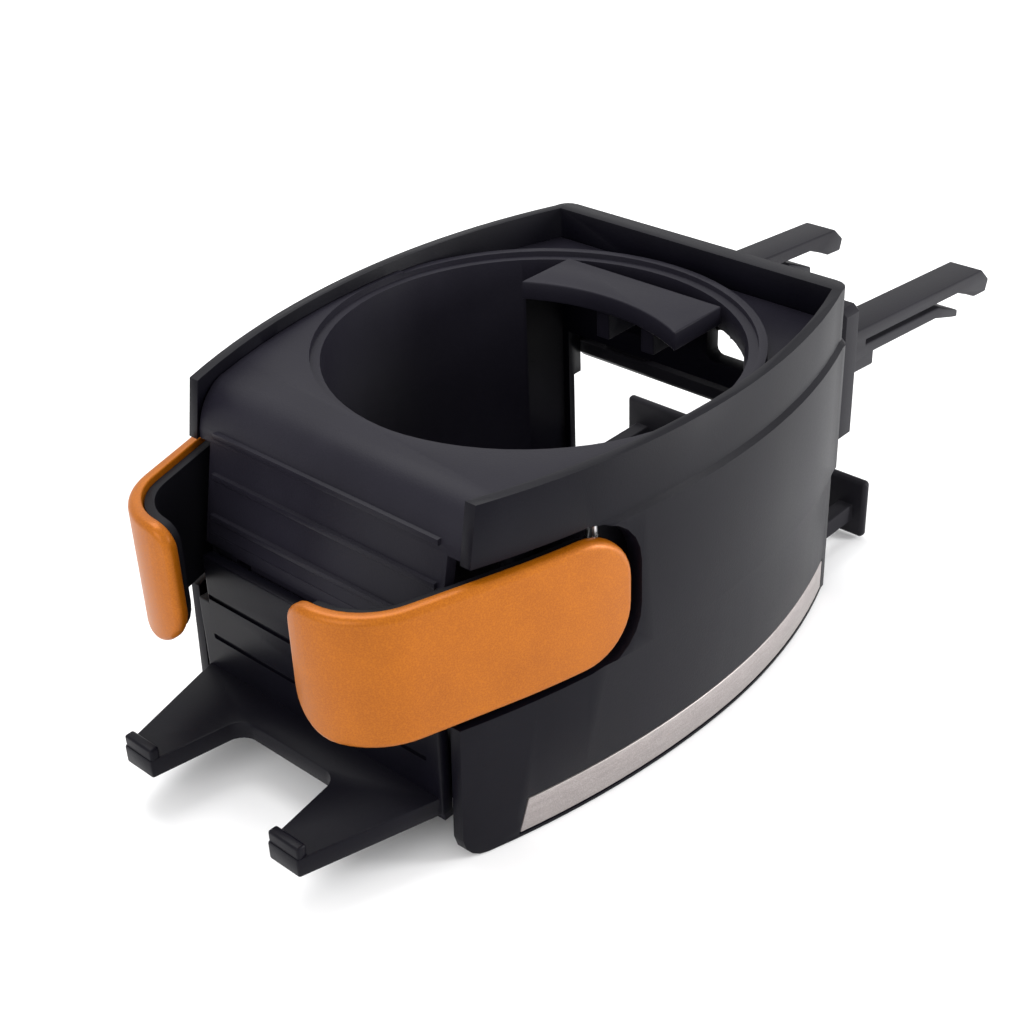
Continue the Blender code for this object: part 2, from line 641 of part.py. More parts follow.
def screw_hole(name, axis, start, end):
    """A countersunk hole for a screw whose head lies flush at start."""
    length = end - start[axis] + GAP
    steps = [
        (-GAP, SCREW_HEAD_R + GAP),
        (SCREW_HEAD_T + GAP, SCREW_HEAD_R + GAP),
        (SCREW_HEAD_T + GAP, SCREW_R + GAP),
        (length, SCREW_R + GAP),
    ]
    return turned(name, axis, start, steps, segments=20)


def screw(name, axis, start, length):
    steps = [(0.0, SCREW_HEAD_R), (SCREW_HEAD_T, SCREW_HEAD_R), (SCREW_HEAD_T, SCREW_R), (length, SCREW_R)]
    made = turned(name, axis, start, steps, STEEL, segments=16)
    cross_depth = SCREW_HEAD_T * 0.6
    for arm, (wide, narrow) in enumerate(((SCREW_HEAD_R * 0.6, SCREW_R * 0.25), (SCREW_R * 0.25, SCREW_HEAD_R * 0.6))):
        first, second = [i for i in range(3) if i != axis]
        low, high = list(start), list(start)
        low[axis] -= cross_depth
        high[axis] += cross_depth
        low[first] -= wide
        high[first] += wide
        low[second] -= narrow
        high[second] += narrow
        change(made, box(f"{name}_cross_{arm}", low, high))
    return made


# ---- deck with the cup wall and fascia -------------------------------------------
def make_deck():
    inner = -(WALL + GAP)
    ring_low = POCKET_TOP - DECK_T - GAP
    deck = rod("cup_deck", 2, (0, 0, ring_low), DECK_TOP - GAP - ring_low, LIP_R + CUP_WALL, BLACK, 72)
    rear_end = BEAM_FRONT_Y - GAP
    join(deck, plan_block("deck_pocket", POCKET_TOP - DECK_T, POCKET_TOP, GAP, POCKET_START_Y - DECK_T, rear_end + GAP))
    join(deck, make_fascia())
    trim = plan_block("deck_limit", 0.0, BODY_HEIGHT + WALL, inner, -2 * BODY_HALF, rear_end)
    change(deck, trim, "INTERSECT")
    join(deck, rod("cup_wall", 2, (0, 0, CUP_WALL_BOTTOM), POCKET_TOP - DECK_T / 2 - CUP_WALL_BOTTOM, CUP_OUTER_R, None, 72))
    for place, (x, y) in zip(("front", "rear"), FLOOR_SCREWS):
        for side in (-1, 1):
            tag = f"{place}_{'left' if side < 0 else 'right'}"
            bottom = FLOOR_TOP + LUG_T + 2 * GAP
            top = (DECK_TOP if y < POCKET_START_Y else POCKET_TOP) - DECK_T / 2
            join(deck, rod(f"post_{tag}", 2, (side * x, y, bottom), top - bottom, BOSS_R))
            change(deck, rod(f"post_hole_{tag}", 2, (side * x, y, bottom - GAP), FLOOR_SCREW_LENGTH, SCREW_R + GAP))
    change(deck, rod("cup_bore", 2, (0, 0, 0), 2 * BODY_HEIGHT, CUP_R, None, 72))
    change(deck, rod("cup_lip", 2, (0, 0, DECK_TOP - LIP_DEPTH), BODY_HEIGHT, LIP_R, None, 72))
    reach = CUP_OUTER_R * 2
    wide = reach * math.tan(math.radians(CUP_OPEN_ANGLE))
    wedge = [(0.0, 0.0), (wide, reach), (-wide, reach)]
    change(deck, prism("cup_opening", 2, wedge, 0.0, POCKET_TOP - DECK_T - GAP))
    return deck


def fascia_y(z):
    """The fascia's outer face at a height."""
    roll_z = DECK_TOP - ROLL_R
    if z > roll_z:
        return FASCIA_TOP_Y + ROLL_R - math.sqrt(ROLL_R**2 - (z - roll_z) ** 2)
    return FASCIA_TOP_Y - FASCIA_LEAN * (roll_z - z) / (roll_z - FASCIA_BOTTOM)


def make_fascia():
    """The front of the deck with its rolled edge, three ribs and the plate behind the phone foot."""
    centre = (FASCIA_TOP_Y + ROLL_R, DECK_TOP - ROLL_R)
    angles = [math.radians(90 + 90 * i / 8) for i in range(9)]
    outline = [(POCKET_START_Y, DECK_TOP)]
    outline += [(centre[0] + ROLL_R * math.cos(a), centre[1] + ROLL_R * math.sin(a)) for a in angles]
    outline += [(fascia_y(FASCIA_BOTTOM), FASCIA_BOTTOM), (fascia_y(FASCIA_BOTTOM) + FASCIA_T, FASCIA_BOTTOM)]
    inside = ROLL_R - FASCIA_T
    outline += [(centre[0] + inside * math.cos(a), centre[1] + inside * math.sin(a)) for a in reversed(angles)]
    outline += [(POCKET_START_Y, DECK_BOTTOM)]
    fascia = prism("fascia", 0, outline, -BODY_HALF, BODY_HALF)
    far = 2 * BODY_HALF
    for side in (-1, 1):
        low, high = sorted((side * FASCIA_HALF, side * far))
        tag = "left" if side < 0 else "right"
        change(fascia, box(f"arm_room_{tag}", (low, -far, -WALL), (high, centre[0], SLOT_TOP + GAP)))
    for index, z in enumerate(RIB_Z):
        face = fascia_y(z)
        low = (-RIB_HALF, face - RIB_PROUD, z - RIB_HEIGHT / 2)
        join(fascia, box(f"rib_{index}", low, (RIB_HALF, face + FASCIA_T / 2, z + RIB_HEIGHT / 2)))
    plate_y = FOOT_FACE_Y + FOOT_T + SLIDE_GAP
    plate_top = FASCIA_BOTTOM + FASCIA_T
    low = (-BACKPLATE_HALF, plate_y, BACKPLATE_BOTTOM)
    join(fascia, box("backplate", low, (BACKPLATE_HALF, plate_y + BACKPLATE_T, plate_top)))
    slot_low = FOOT_TOP - RUNNER_LENGTH - FOOT_TRAVEL - SLIDE_GAP
    for side in (-1, 1):
        middle = side * RUNNER_X
        half = RUNNER_NECK / 2 + SLIDE_GAP
        low = (middle - half, plate_y - WALL, slot_low)
        high = (middle + half, plate_y + 2 * BACKPLATE_T, FOOT_TOP + SLIDE_GAP)
        change(fascia, box(f"runner_slot_{'left' if side < 0 else 'right'}", low, high))
    return fascia


# ---- floor -----------------------------------------------------------------------
def make_floor():
    inner = -(WALL + GAP)
    floor = plan_block("cup_floor", FLOOR_BOTTOM, FLOOR_TOP, inner, FLOOR_FRONT_Y, FLOOR_REAR_Y, BLACK)
    half = BAR_W / 2 + SLIDE_GAP
    for side in (-1, 1):
        tag = "left" if side < 0 else "right"
        low_x, high_x = side * BAR_X - half, side * BAR_X + half
        end_y = SLEEVE_FRONT_Y + SLEEVE_LENGTH
        top = BAR_Z + BAR_H / 2 + SLIDE_GAP + SLEEVE_WALL
        low = (low_x - SLEEVE_WALL, SLEEVE_FRONT_Y, FLOOR_TOP - FLOOR_T / 2)
        join(floor, box(f"sleeve_{tag}", low, (high_x + SLEEVE_WALL, end_y, top)))
        low = (low_x, SLEEVE_FRONT_Y - WALL, BAR_Z - BAR_H / 2 - SLIDE_GAP)
        change(floor, box(f"sleeve_bore_{tag}", low, (high_x, end_y + WALL, BAR_Z + BAR_H / 2 + SLIDE_GAP)))
    for index, (x, y) in enumerate(floor_screw_places()):
        change(floor, screw_hole(f"floor_hole_{index}", 2, (x, y, FLOOR_BOTTOM), FLOOR_TOP))
    return floor


# ---- trims -------------------------------------------------------------------------
def make_trim(side, tag):
    top = TRIM_BOTTOM + TRIM_HEIGHT
    return wall_strip(
        f"trim_{tag}", TRIM_BOTTOM, top, -TRIM_T, 0.0, TRIM_FRONT_Y, TRIM_REAR_Y, TRIM_SLANT, side, SILVER
    )


# ---- phone arms ------------------------------------------------------------------
def make_arm(side, tag):
    cover_inner = ARM_OFFSET - COVER_T
    cover = arm_shell(f"arm_cover_{tag}", ARM_OFFSET, cover_inner, 0.0, side, ORANGE)
    liner_outer = cover_inner - GAP
    liner = arm_shell(f"arm_liner_{tag}", liner_outer, liner_outer - LINER_T, LINER_INSET, side, BLACK)
    low = ARM_BOTTOM + KNUCKLE_INSET
    high = ARM_TOP - KNUCKLE_INSET
    outline = [
        (PIN_X + KNUCKLE_R * math.cos(a), PIN_Y + KNUCKLE_R * math.sin(a))
        for a in (math.radians(90 + 15 * i) for i in range(13))
    ]
    into_liner = PIN_X + PIN_INSET - COVER_T - GAP - LINER_T / 2
    outline += [(into_liner, PIN_Y - KNUCKLE_R), (into_liner, PIN_Y + KNUCKLE_R)]
    outline = outline if side > 0 else mirrored(outline)
    join(liner, prism(f"knuckle_low_{tag}", 2, outline, low, low + KNUCKLE_HEIGHT))
    join(liner, prism(f"knuckle_high_{tag}", 2, outline, high - KNUCKLE_HEIGHT, high))
    at = (side * PIN_X, PIN_Y)
    change(liner, rod(f"spring_notch_{tag}", 2, (*at, low + KNUCKLE_HEIGHT), high - low - 2 * KNUCKLE_HEIGHT,
                      SPRING_R + SPRING_WIRE_R + 2 * GAP))
    change(liner, rod(f"knuckle_hole_{tag}", 2, (*at, SLOT_BOTTOM), SLOT_TOP - SLOT_BOTTOM, PIN_R + GAP))
    pin_low = SLOT_BOTTOM - PIN_BOSS_HEIGHT
    rod(f"arm_pin_{tag}", 2, (*at, pin_low), SLOT_TOP + PIN_BOSS_HEIGHT - pin_low, PIN_R, STEEL, 16)
    spring_length = high - low - 2 * KNUCKLE_HEIGHT - 2 * SPRING_WIRE_R - 2 * GAP
    legs = ((0, ARM_SPRING_LEG, 0), (0, -ARM_SPRING_LEG, 0))
    coil(f"arm_spring_{tag}", (*at, ARM_MID_Z), 2, spring_length, -side * SPRING_R, ARM_SPRING_TURNS, legs, STEEL)
    for piece in (cover, liner):
        pivot_at(piece, *at, ARM_MID_Z)


# ---- cup pad -----------------------------------------------------------------------
def make_pad():
    centre_y = PAD_FRONT_Y - PAD_FACE_R
    limit = math.asin(PAD_HALF / PAD_FACE_R)
    face = [
        (PAD_FACE_R * math.sin(a), centre_y + PAD_FACE_R * math.cos(a)) for a in spread(-limit, limit, 16)
    ]
    outline = face + [(PAD_HALF, PAD_REAR_Y), (-PAD_HALF, PAD_REAR_Y)]
    pad = prism("cup_pad", 2, outline, PAD_TOP - PAD_T, PAD_TOP, BLACK)
    eye = [
        (PAD_PIVOT_Y + PAD_EYE_R * math.cos(a), PAD_PIVOT_Z + PAD_EYE_R * math.sin(a))
        for a in (math.radians(-90 + 15 * i) for i in range(13))
    ]
    root_top = PAD_TOP - PAD_T / 2
    lever = eye + [
        (PAD_REAR_Y, PAD_PIVOT_Z + PAD_EYE_R),
        (PAD_REAR_Y, root_top),
        (PAD_REAR_Y - PAD_LEVER_ROOT, root_top),
        (PAD_REAR_Y - PAD_LEVER_ROOT, PAD_PIVOT_Z - PAD_EYE_R),
    ]
    for side in (-1, 1):
        middle = side * PAD_LEVER_X
        name = f"pad_lever_{'left' if side < 0 else 'right'}"
        join(pad, prism(name, 0, lever, middle - PAD_LEVER_W / 2, middle + PAD_LEVER_W / 2))
    start = (-PAD_HALF, PAD_PIVOT_Y, PAD_PIVOT_Z)
    change(pad, rod("pad_hole", 0, start, 2 * PAD_HALF, PAD_PIN_R + GAP))
    pivot_at(pad, 0, PAD_PIVOT_Y, PAD_PIVOT_Z)
    pin_half = PAD_EAR_X + PAD_EAR_W / 2
    rod("pad_pin", 0, (-pin_half, PAD_PIVOT_Y, PAD_PIVOT_Z), 2 * pin_half, PAD_PIN_R, STEEL, 16)
    length = 2 * (PAD_LEVER_X - PAD_LEVER_W / 2 - SPRING_WIRE_R - GAP)
    legs = ((0, 0, -PAD_SPRING_LEG), (0, -PAD_SPRING_LEG, 0))
    coil("pad_spring", (0, PAD_PIVOT_Y, PAD_PIVOT_Z), 0, length, PAD_SPRING_R, PAD_SPRING_TURNS, legs, STEEL)


# ---- clip rail and vent clips ----------------------------------------------------
def make_rail():
    low = (-RAIL_HALF, RAIL_FRONT_Y, RAIL_BOTTOM)
    rail = box("clip_rail", low, (RAIL_HALF, RAIL_REAR_Y, RAIL_TOP), BLACK, RAIL_CHAMFER)
    neck_half = CLIP_X + CLIP_TRAVEL + CLIP_WIDTH / 2 + SLIDE_GAP
    head_depth = GAP + CLIP_HEAD_T + SLIDE_GAP
    low = (-neck_half, RAIL_FRONT_Y, CLIP_STEM_BOTTOM - SLIDE_GAP)
    change(rail, box("clip_neck", low, (neck_half, RAIL_REAR_Y + WALL, CLIP_STEM_TOP + SLIDE_GAP)))
    room_half = neck_half + CLIP_HEAD_SIDE
    low = (-room_half, RAIL_FRONT_Y - WALL, CLIP_STEM_BOTTOM - CLIP_HEAD_UNDER - SLIDE_GAP)
    high = (room_half, RAIL_FRONT_Y + head_depth, CLIP_STEM_TOP + CLIP_HEAD_OVER + SLIDE_GAP)
    change(rail, box("clip_room", low, high))
    for index, (x, z) in enumerate(rail_screw_places()):
        depth = RAIL_DEPTH - RAIL_SCREW_END + GAP + WALL
        change(rail, rod(f"rail_hole_{index}", 1, (x, RAIL_FRONT_Y - WALL, z), depth, SCREW_R + GAP, segments=20))
    return rail


def make_clip(side, tag):
    jaw_low = CLIP_STEM_TOP - CLIP_JAW_T
    lower_top = jaw_low - CLIP_SLIT
    lower_low = lower_top - CLIP_LOWER_T
    root = RAIL_REAR_Y + CLIP_ROOT
    end = CLIP_END_Y
    hook = jaw_low - CLIP_HOOK_DROP
    lower_end = end - CLIP_LOWER_SHORT
    head_y = RAIL_FRONT_Y + GAP
    outline = [
        (head_y + CLIP_HEAD_T / 2, CLIP_STEM_TOP),
        (RAIL_REAR_Y, CLIP_STEM_TOP),
        (end - 1.2 * CLIP_JAW_T, CLIP_STEM_TOP),
        (end, jaw_low),
        (end - 0.3 * CLIP_JAW_T, hook),
        (end - 2.0 * CLIP_JAW_T, hook),
        (end - 3.2 * CLIP_JAW_T, hook + CLIP_HOOK_DROP / 2),
        (end - 4.6 * CLIP_JAW_T, jaw_low),
        (root, jaw_low),
        (root, lower_top),
        (lower_end - 3.6 * CLIP_LOWER_T, lower_top),
        (lower_end, lower_top - 1.2 * CLIP_LOWER_T),
        (lower_end, lower_low - 0.9 * CLIP_LOWER_T),
        (lower_end - CLIP_LOWER_T, lower_low - 0.7 * CLIP_LOWER_T),
        (lower_end - 4.0 * CLIP_LOWER_T, lower_low),
        (RAIL_REAR_Y + CLIP_GUSSET, lower_low),
        (RAIL_REAR_Y + CLIP_GUSSET, CLIP_STEM_BOTTOM),
        (RAIL_REAR_Y, CLIP_STEM_BOTTOM),
        (head_y + CLIP_HEAD_T / 2, CLIP_STEM_BOTTOM),
    ]
    fall = CLIP_DROOP / CLIP_LENGTH
    outline = [(y, z - fall * max(y - RAIL_REAR_Y, 0.0)) for y, z in outline]
    middle = side * CLIP_X
    half = CLIP_WIDTH / 2
    clip = prism(f"vent_clip_{tag}", 0, outline, middle - half, middle + half, BLACK)
    low = (middle - half - CLIP_HEAD_SIDE, head_y, CLIP_STEM_BOTTOM - CLIP_HEAD_UNDER)
    high = (middle + half + CLIP_HEAD_SIDE, head_y + CLIP_HEAD_T, CLIP_STEM_TOP + CLIP_HEAD_OVER)
    join(clip, box(f"clip_head_{tag}", low, high))
    pivot_at(clip, middle, RAIL_REAR_Y, CLIP_STEM_TOP)


# ---- phone foot ----------------------------------------------------------------
def make_foot():
    plate = [
        (-FOOT_WIDE_HALF, FOOT_BOTTOM),
        (FOOT_WIDE_HALF, FOOT_BOTTOM),
        (FOOT_WIDE_HALF, FOOT_WIDE_TOP),
        (FOOT_HALF, FOOT_WIDE_TOP),
        (FOOT_HALF, FOOT_TOP),
        (-FOOT_HALF, FOOT_TOP),
        (-FOOT_HALF, FOOT_WIDE_TOP),
        (-FOOT_WIDE_HALF, FOOT_WIDE_TOP),
    ]
    foot = prism("phone_foot", 1, plate, FOOT_FACE_Y, FOOT_FACE_Y + FOOT_T, BLACK)
    for index, z in enumerate(FOOT_GROOVE_Z):
        low = (-RIB_HALF, FOOT_FACE_Y - FOOT_T, z - RIB_HEIGHT / 2)
        change(foot, box(f"foot_groove_{index}", low, (RIB_HALF, FOOT_FACE_Y + FOOT_GROOVE, z + RIB_HEIGHT / 2)))
    bar_y = FOOT_FACE_Y - FORK_BAR
    root_y = FOOT_FACE_Y + FOOT_T / 2
    right = [
        (PRONG_ROOT_IN, bar_y),
        (PRONG_TIP_IN, FORK_TIP_Y),
        (PRONG_TIP_OUT, FORK_TIP_Y),
        (PRONG_ROOT_OUT, root_y),
    ]
    fork = rounded(right + mirrored(right), [FORK_FILLET, 0, 0, 0, 0, 0, 0, FORK_FILLET], 4)
    join(foot, prism("fork", 2, fork, FOOT_BOTTOM, FOOT_BOTTOM + FORK_T))
    for side in (-1, 1):
        tag = "left" if side < 0 else "right"
        low_x, high_x = sorted((side * PRONG_TIP_IN, side * PRONG_TIP_OUT))
        low = (low_x, FORK_TIP_Y, FOOT_BOTTOM)
        join(foot, box(f"prong_lip_{tag}", low, (high_x, FORK_TIP_Y + LIP_T, FOOT_BOTTOM + LIP_HEIGHT)))
        middle = side * RUNNER_X
        back = FOOT_FACE_Y + FOOT_T
        head_y = back + SLIDE_GAP + BACKPLATE_T + SLIDE_GAP
        low = (middle - RUNNER_NECK / 2, back - FOOT_T / 2, FOOT_TOP - RUNNER_LENGTH)
        join(foot, box(f"runner_neck_{tag}", low, (middle + RUNNER_NECK / 2, head_y + RUNNER_HEAD_T / 2, FOOT_TOP)))
        low = (middle - RUNNER_HEAD / 2, head_y, FOOT_TOP - RUNNER_LENGTH)
        join(foot, box(f"runner_head_{tag}", low, (middle + RUNNER_HEAD / 2, head_y + RUNNER_HEAD_T, FOOT_TOP)))
    pivot_at(foot, 0, FOOT_FACE_Y, FOOT_BOTTOM)


# ---- rear support foot -----------------------------------------------------------
def make_support():
    low = (-SUPPORT_HALF, SUPPORT_Y, SUPPORT_BOTTOM)
    support = box("support_foot", low, (SUPPORT_HALF, SUPPORT_Y + SUPPORT_T, SUPPORT_TOP), BLACK, SUPPORT_CHAMFER)
    for side in (-1, 1):
        middle = side * BAR_X
        low = (middle - BAR_W / 2, SUPPORT_Y - BAR_LENGTH, BAR_Z - BAR_H / 2)
        high = (middle + BAR_W / 2, SUPPORT_Y + SUPPORT_T / 2, BAR_Z + BAR_H / 2)
        join(support, box(f"support_bar_{'left' if side < 0 else 'right'}", low, high))
    pivot_at(support, 0, SUPPORT_Y, BAR_Z)


# ---- assembly ----------------------------------------------------------------------
make_shell()
make_deck()
make_floor()
make_rail()
make_pad()
make_foot()
make_support()
for side, tag in ((-1, "left"), (1, "right")):
    make_trim(side, tag)
    make_arm(side, tag)
    make_clip(side, tag)
rail_screw_length = BEAM_DEPTH + GAP + RAIL_DEPTH - RAIL_SCREW_END
for index, (x, z) in enumerate(rail_screw_places()):
    screw(f"rail_screw_{index + 1}", 1, (x, BEAM_FRONT_Y, z), rail_screw_length)
for index, (x, y) in enumerate(floor_screw_places()):
    screw(f"floor_screw_{index + 1}", 2, (x, y, FLOOR_BOTTOM), FLOOR_SCREW_LENGTH)
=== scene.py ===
"""Looks for the vent-clip cup and phone holder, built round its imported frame.

The CAD's mouldings are copied, their edges are softened as a mould leaves them, and every
surface gets its finish.  Millimetres are measured from the cup's axis and the body's underside.
"""
import json
import math

import bmesh
import bpy
from mathutils import Matrix, Vector


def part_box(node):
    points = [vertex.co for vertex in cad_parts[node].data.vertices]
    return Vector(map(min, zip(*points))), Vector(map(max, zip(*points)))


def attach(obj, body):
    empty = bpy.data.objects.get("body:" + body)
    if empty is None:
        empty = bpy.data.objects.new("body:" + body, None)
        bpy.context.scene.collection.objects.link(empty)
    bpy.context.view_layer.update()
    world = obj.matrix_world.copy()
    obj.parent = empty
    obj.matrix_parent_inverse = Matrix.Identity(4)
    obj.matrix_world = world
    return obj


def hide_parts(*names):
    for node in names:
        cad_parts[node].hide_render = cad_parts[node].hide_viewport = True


MM = 0.001
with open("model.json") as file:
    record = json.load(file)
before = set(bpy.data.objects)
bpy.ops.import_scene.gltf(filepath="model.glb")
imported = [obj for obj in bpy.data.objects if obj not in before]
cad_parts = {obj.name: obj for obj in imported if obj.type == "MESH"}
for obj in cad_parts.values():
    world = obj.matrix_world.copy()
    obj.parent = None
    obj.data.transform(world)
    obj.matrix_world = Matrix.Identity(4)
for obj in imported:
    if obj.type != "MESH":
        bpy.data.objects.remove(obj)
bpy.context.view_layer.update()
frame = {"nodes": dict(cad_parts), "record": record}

BODY_REAR = 45.0 * MM               # from the cup's axis to the back of the body
AXIS_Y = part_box("body_shell")[1].y - BODY_REAR


def from_axis(x, y, z):
    """A point in the frame from millimetres measured at the foot of the cup's axis."""
    return Vector((x * MM, y * MM + AXIS_Y, z * MM))


# ---- camera and light ----------------------------------------------------------------
CAMERA_TURN = 43.3                  # degrees round to the right of the phone side
CAMERA_RISE = 31.7
CAMERA_ROLL = -2.4
CAMERA_DISTANCE = 281.8 * MM
CAMERA_LENS = 59.95                 # on a sensor SENSOR_WIDTH wide, both in millimetres
SENSOR_WIDTH = 36.0
CAMERA_NEAR = 10.0 * MM
AIM = from_axis(2.2, -9.5, 30.3)
LIGHTS_AIM = (0.0, 0.0, 25.0)
FLOOR_RADIUS = 6.0                  # metres
FLOOR_DROP = 0.2 * MM


def add_camera():
    turn, rise = math.radians(CAMERA_TURN), math.radians(CAMERA_RISE)
    back = Vector((math.sin(turn) * math.cos(rise), -math.cos(turn) * math.cos(rise), math.sin(rise)))
    data = bpy.data.cameras.new("camera")
    data.lens = CAMERA_LENS
    data.sensor_width = SENSOR_WIDTH
    data.clip_start = CAMERA_NEAR
    camera = bpy.data.objects.new("camera", data)
    aim = (-back).to_track_quat("-Z", "Y").to_matrix().to_4x4()
    roll = Matrix.Rotation(math.radians(CAMERA_ROLL), 4, "Z")
    camera.matrix_world = Matrix.Translation(AIM + back * CAMERA_DISTANCE) @ aim @ roll
    bpy.context.collection.objects.link(camera)
    bpy.context.scene.camera = camera


def add_light(name, place, size, power):
    data = bpy.data.lights.new(name, "AREA")
    data.shape = "RECTANGLE"
    data.size, data.size_y = size[0] * MM, size[1] * MM
    data.energy = power
    lamp = bpy.data.objects.new(name, data)
    start, end = from_axis(*place), from_axis(*LIGHTS_AIM)
    turned = (end - start).to_track_quat("-Z", "Y").to_matrix().to_4x4()
    lamp.matrix_world = Matrix.Translation(start) @ turned
    bpy.context.collection.objects.link(lamp)


def add_floor():
    mesh = bpy.data.meshes.new("floor")
    bm = bmesh.new()
    bmesh.ops.create_circle(bm, cap_ends=True, segments=64, radius=FLOOR_RADIUS)
    bmesh.ops.translate(bm, verts=bm.verts, vec=(0, 0, -FLOOR_DROP))
    bm.to_mesh(mesh)
    bm.free()
    floor = bpy.data.objects.new("floor", mesh)
    bpy.context.collection.objects.link(floor)
    floor.data.materials.append(FLOOR_WHITE)


def add_world(strength):
    world = bpy.data.worlds.new("studio")
    world.use_nodes = True
    world.node_tree.nodes["Background"].inputs["Color"].default_value = (1.0, 1.0, 1.0, 1.0)
    world.node_tree.nodes["Background"].inputs["Strength"].default_value = strength
    bpy.context.scene.world = world


# ---- finishes ------------------------------------------------------------------------
class Amount:
    """A number that varies over the surface; Python's operators add its Math nodes."""

    def __init__(self, finish, socket):
        self.finish = finish
        self.socket = socket

    def maths(self, operation, first, second):
        made = self.finish.node("ShaderNodeMath", {"operation": operation}, {0: first, 1: second})
        return Amount(self.finish, made.outputs[0])

    def __add__(self, other):
        return self.maths("ADD", self, other)

    def __mul__(self, other):
        return self.maths("MULTIPLY", self, other)

    __radd__ = __add__
    __rmul__ = __mul__


class Finish:
    """A material for one of the holder's finishes."""

    def __init__(self, name, **constants):
        self.material = bpy.data.materials.new(name)
        self.material.use_nodes = True
        self.tree = self.material.node_tree
        self.shader = self.tree.nodes["Principled BSDF"]
        for key, value in constants.items():
            self.shader.inputs[key.replace("_", " ").title()].default_value = value
        self.place = self.node("ShaderNodeTexCoord").outputs["Object"]

    def node(self, kind, settings=None, sockets=None):
        made = self.tree.nodes.new(kind)
        for key, value in (settings or {}).items():
            if key == "stops":
                for stop, (at, colour) in zip(made.color_ramp.elements, value):
                    stop.position = at
                    stop.color = (*colour, 1.0)
            else:
                setattr(made, key, value)
        for key, value in (sockets or {}).items():
            self.feed(made.inputs[key], value)
        return made

    def feed(self, socket, value):
        if isinstance(value, Amount):
            value = value.socket
        if isinstance(value, bpy.types.NodeSocket):
            self.tree.links.new(value, socket)
        else:
            socket.default_value = value

    def noise(self, size, detail=2.0, stretch=(1.0, 1.0, 1.0)):
        """Noise from 0 to 1 whose grains are about this many millimetres across."""
        turned = self.node("ShaderNodeMapping", {}, {"Vector": self.place, "Scale": stretch})
        sockets = {"Vector": turned.outputs[0], "Scale": 1.0 / (size * MM), "Detail": detail}
        return Amount(self, self.node("ShaderNodeTexNoise", {}, sockets).outputs[0])

    def cells(self, size):
        """Distance to the nearest of many scattered points, for flakes and fine pits."""
        sockets = {"Vector": self.place, "Scale": 1.0 / (size * MM)}
        return Amount(self, self.node("ShaderNodeTexVoronoi", {}, sockets).outputs["Distance"])

    def colour(self, amount, low, high, start=0.3, end=0.7):
        stops = ((start, low), (end, high))
        ramp = self.node("ShaderNodeValToRGB", {"stops": stops}, {0: amount})
        self.feed(self.shader.inputs["Base Color"], ramp.outputs[0])

    def rough(self, amount):
        self.feed(self.shader.inputs["Roughness"], amount)

    def bump(self, amount, depth, strength=1.0):
        sockets = {"Height": amount, "Distance": depth * MM, "Strength": strength}
        self.feed(self.shader.inputs["Normal"], self.node("ShaderNodeBump", {}, sockets).outputs[0])


def moulded_plastic(name, dark, light, gloss, grain_depth):
    """Black plastic with the fine spark-eroded grain of its mould and faint flow marks."""
    finish = Finish(name)
    finish.shader.inputs["Specular IOR Level"].default_value = 0.10
    grain = finish.noise(0.34, 3.0)
    pits = finish.cells(0.22)
    flow = finish.noise(16.0, 3.0, (1.0, 1.0, 0.45))
    finish.colour(flow * 0.75 + grain * 0.25, dark, light)
    finish.rough(gloss + flow * 0.10 + grain * 0.08)
    finish.bump(grain * 0.7 + pits * 0.3, grain_depth)
    return finish.material


def pearl_orange(name):
    """Orange satin paint with fine pearl flake under a thin lacquer."""
    finish = Finish(name, metallic=0.25, coat_weight=0.06, coat_roughness=0.25)
    finish.shader.inputs["Specular IOR Level"].default_value = 0.2
    flake = finish.cells(0.26)
    cloud = finish.noise(7.0, 3.0)
    finish.colour(flake * 0.55 + cloud * 0.45, (0.27, 0.070, 0.002), (0.39, 0.112, 0.003), 0.2, 0.75)
    finish.rough(0.30 + flake * 0.14 + cloud * 0.06)
    finish.bump(flake, 0.012, 0.5)
    return finish.material


def satin_silver(name):
    """Silver paint on plastic, fine flake, rubbed along the strip."""
    finish = Finish(name, metallic=0.75)
    flake = finish.cells(0.2)
    streak = finish.noise(0.5, 3.0, (0.12, 0.12, 1.0))
    finish.colour(flake * 0.5 + streak * 0.5, (0.27, 0.243, 0.238), (0.39, 0.355, 0.346))
    finish.rough(0.34 + flake * 0.10 + streak * 0.10)
    finish.bump(streak * 0.6 + flake * 0.4, 0.010, 0.6)
    return finish.material


def drawn_steel(name, stretch):
    """Bright wire and turned steel, with drawing marks along one direction."""
    finish = Finish(name, metallic=1.0)
    marks = finish.noise(0.3, 2.0, stretch)
    finish.colour(marks, (0.46, 0.46, 0.47), (0.66, 0.66, 0.67))
    finish.rough(0.22 + marks * 0.16)
    finish.bump(marks, 0.006, 0.6)
    return finish.material


def floor_white(name):
    finish = Finish(name, roughness=0.9)
    cloud = finish.noise(60.0, 2.0)
    finish.colour(cloud, (0.93, 0.93, 0.935), (0.95, 0.95, 0.955))
    return finish.material


